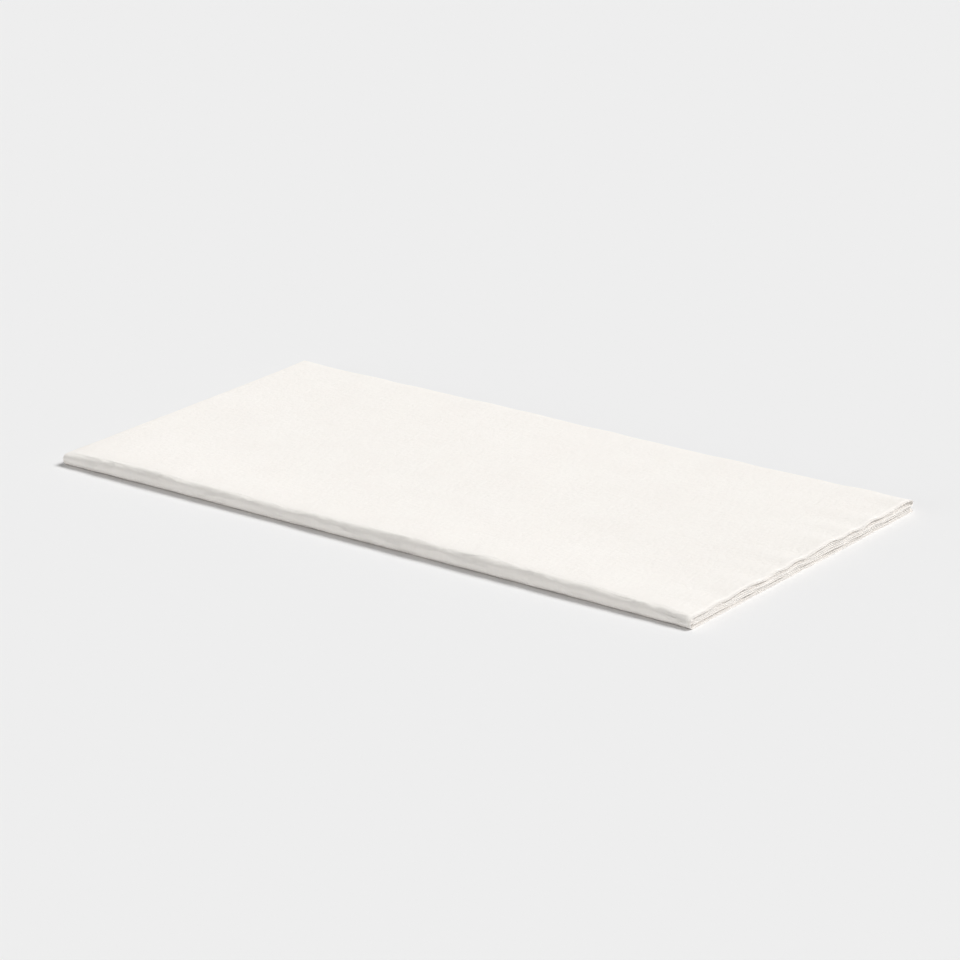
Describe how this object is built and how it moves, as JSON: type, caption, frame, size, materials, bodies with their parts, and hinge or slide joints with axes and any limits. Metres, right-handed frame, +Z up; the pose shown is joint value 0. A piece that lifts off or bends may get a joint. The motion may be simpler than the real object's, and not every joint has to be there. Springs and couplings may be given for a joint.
{
  "type": "paper napkin",
  "caption": "White tissue napkin folded into a thin oblong packet that lies flat, for wiping hands and mouth at the table.",
  "frame": {"origin": "centre of the folded napkin's footprint, on the surface that its lowest layer rests on", "axes": "+X along the long side, towards the open short side where all the raw edges show; the last fold faces -Y; +Z up through the layers"},
  "size_m": [0.1652, 0.0832, 0.0037],
  "materials": {
    "tissue": "matte"
  },
  "bodies": {
    "root": {"napkin": "tissue"}
  },
  "joints": []
}
